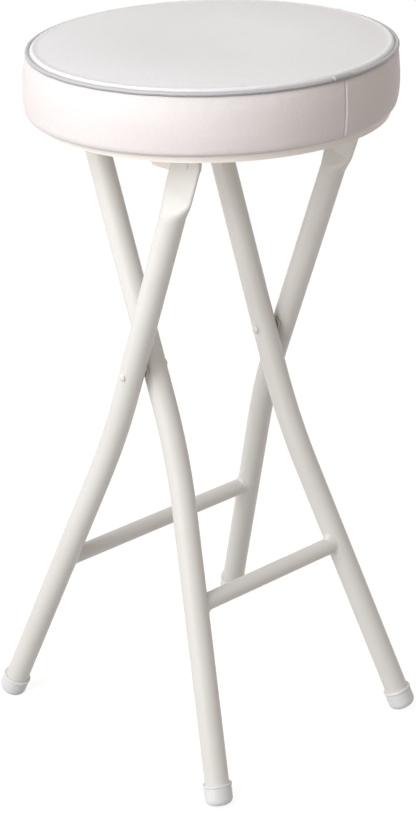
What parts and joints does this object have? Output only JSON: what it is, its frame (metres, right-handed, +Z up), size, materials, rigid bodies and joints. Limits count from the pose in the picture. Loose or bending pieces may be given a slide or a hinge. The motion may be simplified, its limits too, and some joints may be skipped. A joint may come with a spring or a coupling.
{
  "type": "folding bar stool",
  "caption": "Folding bar stool: round padded seat on two crossed bent-tube frames with stretchers and foot caps; the frames fold flat and the seat lifts with them.",
  "frame": {"origin": "on the floor under the middle of the stool's box", "axes": "+Z up, +Y along the hinge axes from the left legs to the right legs, +X from the outer frame's feet to the inner frame's feet"},
  "size_m": [0.329, 0.3164, 0.6562],
  "materials": {
    "frame_paint": "satin cream-white powder coat on steel tube",
    "seat_metal": "satin cream-white paint on pressed steel",
    "foot_cap": "soft white vinyl, slightly glossy",
    "washer": "white nylon",
    "rivet": "painted steel rivet",
    "screw": "zinc plated",
    "board": "raw plywood",
    "foam": "open cell foam",
    "vinyl_top": "white vinyl leathercloth, fine grain",
    "vinyl_band": "white vinyl leathercloth, fine grain",
    "piping": "white vinyl piping"
  },
  "bodies": {
    "outer_frame": {"outer_leg_left": "frame_paint", "outer_leg_right": "frame_paint", "outer_stretcher": "frame_paint", "outer_stretcher_welds": "frame_paint", "outer_foot_cap_left": "foot_cap", "outer_foot_cap_right": "foot_cap", "pivot_rivet_left": "rivet", "pivot_rivet_right": "rivet", "pivot_spacer_left": "washer", "pivot_spacer_right": "washer", "hinge_rivet_left": "rivet", "hinge_rivet_right": "rivet", "hinge_washer_left": "washer", "hinge_washer_right": "washer"},
    "inner_frame": {"inner_leg_left": "frame_paint", "inner_leg_right": "frame_paint", "inner_top_bar": "frame_paint", "inner_stretcher": "frame_paint", "inner_stretcher_welds": "frame_paint", "inner_foot_cap_left": "foot_cap", "inner_foot_cap_right": "foot_cap"},
    "seat": {"seat_bracket_left": "seat_metal", "seat_bracket_right": "seat_metal", "seat_catch": "seat_metal", "bracket_screws": "screw", "catch_screws": "screw", "seat_pan": "seat_metal", "seat_pan_rim": "seat_metal", "seat_board": "board", "seat_foam": "foam", "cover_band": "vinyl_band", "cover_piping": "piping", "cover_top": "vinyl_top"}
  },
  "joints": [
    {"name": "frame_fold", "type": "hinge", "parent": "outer_frame", "child": "inner_frame", "pos_m": [-0.00608, 0, 0.3732], "axis": [0, 1, 0], "range_deg": [0, 36.6]},
    {"name": "seat_lift", "type": "hinge", "parent": "outer_frame", "child": "seat", "pos_m": [0.07793, 0, 0.5832], "axis": [0, 1, 0], "range_deg": [0, 102]}
  ],
  "couplings": [
    {"joint": "seat_lift", "follows": "frame_fold", "ratio": 2.787}
  ]
}
